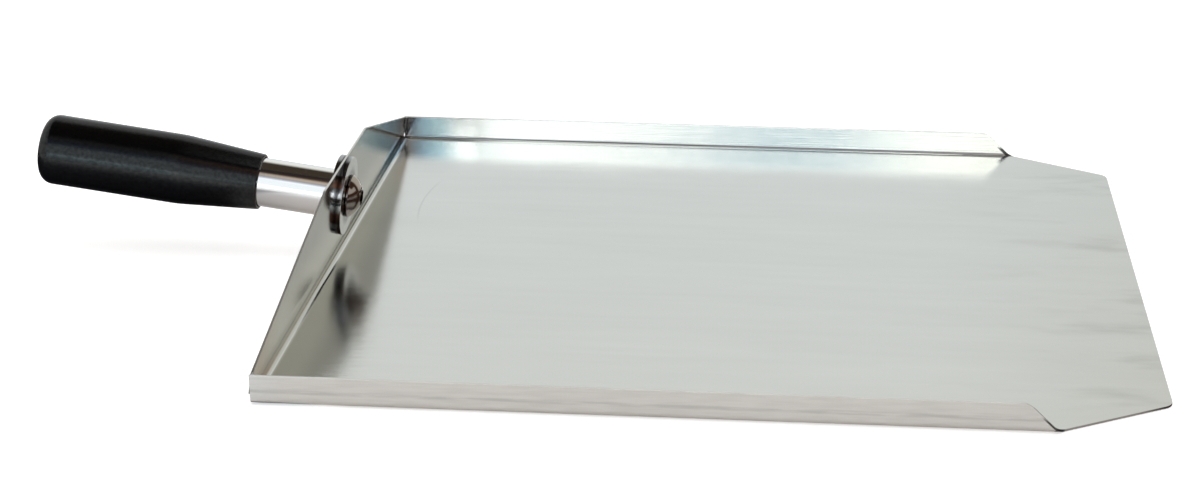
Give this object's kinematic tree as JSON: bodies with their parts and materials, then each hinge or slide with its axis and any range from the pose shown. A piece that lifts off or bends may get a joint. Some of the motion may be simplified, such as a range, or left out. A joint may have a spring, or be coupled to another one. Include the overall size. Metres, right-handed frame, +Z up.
{
  "type": "grill spatula",
  "caption": "Wide folded steel tray spatula with low side walls, a higher leaning rear wall and cut front corners, on a short round black grip held by a button-head screw.",
  "frame": {"origin": "on the underside of the tray's floor, midway between the rear fold and the front edge and midway between the side walls", "axes": "+X towards the open front edge, with the handle at -X; +Y across the tray; +Z up, out of the tray"},
  "size_m": [0.4479, 0.296, 0.0555],
  "materials": {
    "tray": "bright stainless sheet, fine grain along the length",
    "washer": "polished stainless steel",
    "screw": "polished stainless steel",
    "tube": "polished stainless steel",
    "bush": "turned stainless steel",
    "grip": "black satin moulded plastic"
  },
  "bodies": {
    "root": {"tray": "tray", "inner_washer": "washer", "outer_washer": "washer", "handle_screw": "screw", "handle_tube": "tube", "threaded_bush": "bush", "grip": "grip"}
  },
  "joints": []
}
